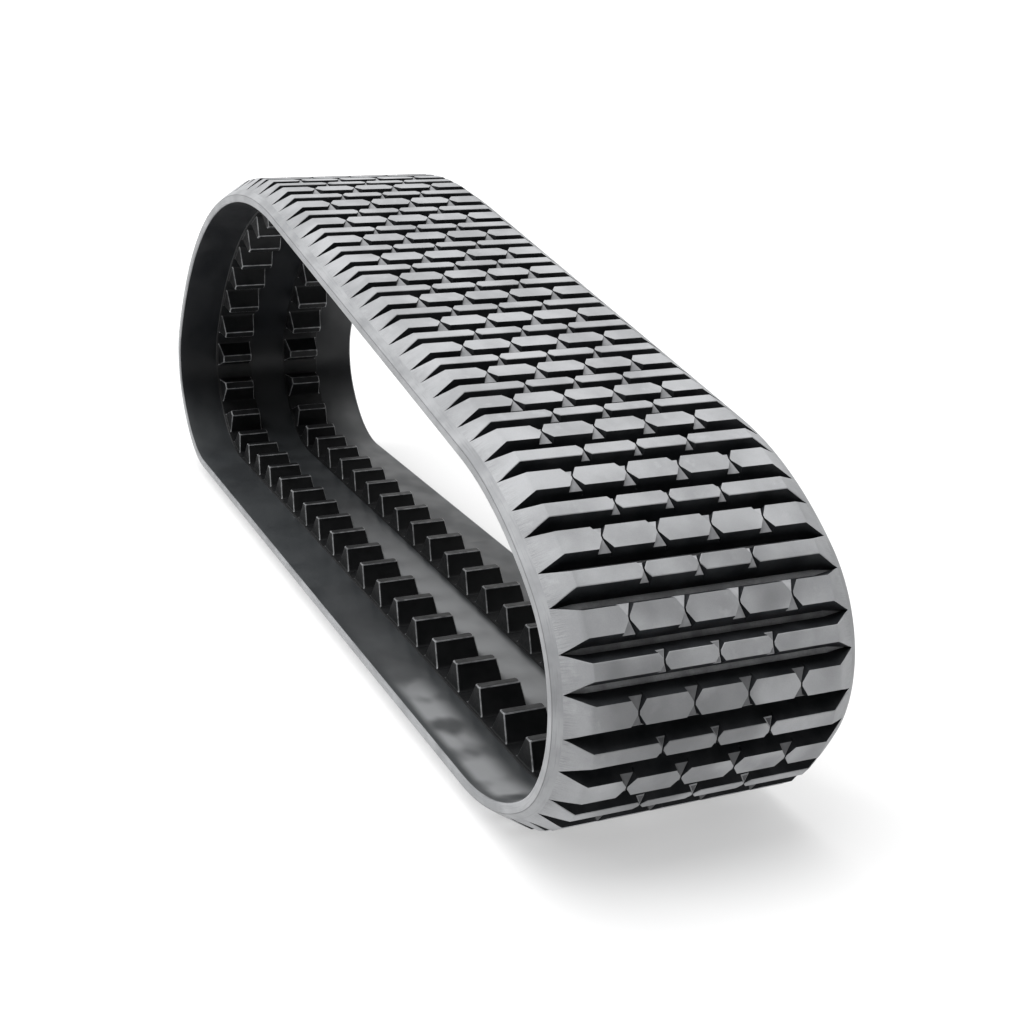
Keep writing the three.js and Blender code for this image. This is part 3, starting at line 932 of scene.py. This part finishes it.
def build_track():
    rows = [(row, row_template(row)) for row in (NARROW_ROW, WIDE_ROW)]
    cover = layer_template(inner_cover_outline())
    ply = layer_template(cord_ply_outline(), LAYER_STEPS // 2)
    sides = {"left": -1, "right": 1}
    lugs = {name: lug_template(side) for name, side in sides.items()}
    strips = {name: layer_template(strip_outline(side)) for name, side in sides.items()}
    tread_finishes = [
        tread_face_rubber(), shaded_flank_rubber(), floor_rubber(), rim_rubber(), tie_rubber(),
    ]
    lug_finishes = [lug_rubber(), edge_highlight_rubber()]
    inner, fabric = cover_rubber(), ply_fabric()

    for label, first, last, bodies, pivot in belt_stretches():
        starts = [pitch_start(pitch) for pitch in range(first, last)]
        stretch = Stretch()
        for start in starts:
            for row, template in rows:
                length = row.share * LUG_PITCH
                stretch.add(template, start + length / 2, bar_stiffness)
                start += length
        piece = stretch.make(f"outer_tread_{label}", tread_finishes)
        attach(piece, "outer_tread", bodies, pivot, "tread_rubber")

        for kind, template, material, slot in (
            ("inner_cover", cover, inner, "cover_rubber"),
            ("cord_ply", ply, fabric, "cord_fabric"),
        ):
            stretch = Stretch()
            for start in starts:
                stretch.add(template, start, bends_fully)
            piece = stretch.make(f"{kind}_{label}", [material])
            attach(piece, kind, bodies, pivot, slot)

        for name in sides:
            stretch = Stretch()
            for start in starts:
                stretch.add(strips[name], start, bends_fully)
                stretch.add(lugs[name], start + LUG_PHASE, lug_stiffness)
            piece = stretch.make(f"drive_lugs_{name}_{label}", lug_finishes)
            attach(piece, f"drive_lugs_{name}", bodies, pivot, "lug_rubber")


# ---- Studio ----
CEILING = 0.75
BACKDROP_TOWARD = (-0.85, 0.4, 0.25)
BACKDROP = 0.9
DARKEST_SKY = 0.06
FLOOR_GREY = 0.52
FLOOR_GLOW = 0.45
FLOOR_REACH = 60

CAMERA_EYE = (2.7462, -0.9772, 1.1300)
CAMERA_YAW, CAMERA_PITCH, CAMERA_ROLL = 66.54, 18.21, 1.05
CAMERA_LENS, CAMERA_SENSOR = 53.93, 36.0


def build_floor():
    material, tree = shader("floor")
    output = tree.nodes["Principled BSDF"]
    output.inputs["Base Color"].default_value = (FLOOR_GREY, FLOOR_GREY, FLOOR_GREY, 1)
    output.inputs["Emission Color"].default_value = (1, 1, 1, 1)
    output.inputs["Emission Strength"].default_value = FLOOR_GLOW
    output.inputs["Roughness"].default_value = 0.9
    output.inputs["Specular IOR Level"].default_value = 0.1
    mesh = bpy.data.meshes.new("floor")
    corners = [(x * FLOOR_REACH, y * FLOOR_REACH, 0) for x, y in ((-1, -1), (1, -1), (1, 1), (-1, 1))]
    mesh.from_pydata(corners, [], [(0, 1, 2, 3)])
    mesh.materials.append(material)
    floor = bpy.data.objects.new("floor", mesh)
    bpy.context.scene.collection.objects.link(floor)


def build_sky():
    """A bright ceiling and a bright backdrop behind the track. The camera itself sees plain white."""
    world = bpy.data.worlds.new("studio")
    bpy.context.scene.world = world
    world.use_nodes = True
    tree = world.node_tree
    background = tree.nodes["Background"]
    background.inputs["Color"].default_value = (1, 1, 1, 1)
    direction = tree.nodes.new("ShaderNodeTexCoord").outputs["Generated"]

    def glow(toward, low, high, bright):
        """Rises from none to bright with the cosine of the angle to a direction."""
        facing = tree.nodes.new("ShaderNodeVectorMath")
        facing.operation = "DOT_PRODUCT"
        tree.links.new(direction, facing.inputs[0])
        facing.inputs[1].default_value = Vector(toward).normalized()
        rise = tree.nodes.new("ShaderNodeMapRange")
        rise.interpolation_type = "SMOOTHSTEP"
        tree.links.new(facing.outputs["Value"], rise.inputs["Value"])
        for label, number in (("From Min", low), ("From Max", high), ("To Max", bright)):
            rise.inputs[label].default_value = number
        return rise.outputs["Result"]

    def summed(first, second):
        node = tree.nodes.new("ShaderNodeMath")
        for index, value in enumerate((first, second)):
            if isinstance(value, bpy.types.NodeSocket):
                tree.links.new(value, node.inputs[index])
            else:
                node.inputs[index].default_value = value
        return node.outputs["Value"]

    ceiling = glow((0, 0, 1), 0.45, 0.95, CEILING)
    backdrop = glow(BACKDROP_TOWARD, 0.55, 0.9, BACKDROP)
    light = summed(summed(ceiling, backdrop), DARKEST_SKY)
    seen = tree.nodes.new("ShaderNodeLightPath").outputs["Is Camera Ray"]
    tree.links.new(summed(light, seen), background.inputs["Strength"])


def add_sun(name, toward, spread, power):
    """An even light from a direction, as soft as a lamp that spans the spread in degrees."""
    data = bpy.data.lights.new(name, "SUN")
    data.angle = math.radians(spread)
    data.energy = power
    lamp = bpy.data.objects.new(name, data)
    lamp.rotation_euler = Vector(toward).to_track_quat("Z", "Y").to_euler()
    bpy.context.scene.collection.objects.link(lamp)


def build_camera():
    """The photograph's viewpoint: near the tight end, left of the track, looking down a little."""
    yaw, pitch, roll = map(math.radians, (CAMERA_YAW, CAMERA_PITCH, CAMERA_ROLL))
    right = Vector((math.cos(yaw), math.sin(yaw), 0))
    level = Vector((-math.sin(yaw), math.cos(yaw), 0))
    forward = level * math.cos(pitch) - Vector((0, 0, math.sin(pitch)))
    up = right.cross(forward)
    side = right * math.cos(roll) + up * math.sin(roll)
    head = up * math.cos(roll) - right * math.sin(roll)
    data = bpy.data.cameras.new("camera")
    data.sensor_width = CAMERA_SENSOR
    data.lens = CAMERA_LENS
    data.clip_end = 200
    camera = bpy.data.objects.new("camera", data)
    turned = Matrix((side, head, -forward)).transposed().to_4x4()
    camera.matrix_world = Matrix.Translation(CAMERA_EYE) @ turned
    bpy.context.scene.collection.objects.link(camera)
    bpy.context.scene.camera = camera


def build_studio():
    build_floor()
    build_sky()
    add_sun("ceiling", toward=(-0.12, -0.2, 1), spread=60, power=2.5)
    add_sun("window", toward=(-0.3, -1, 0.55), spread=30, power=1.1)
    bpy.context.scene.view_settings.view_transform = "Standard"


build_camera()
build_track()
build_studio()
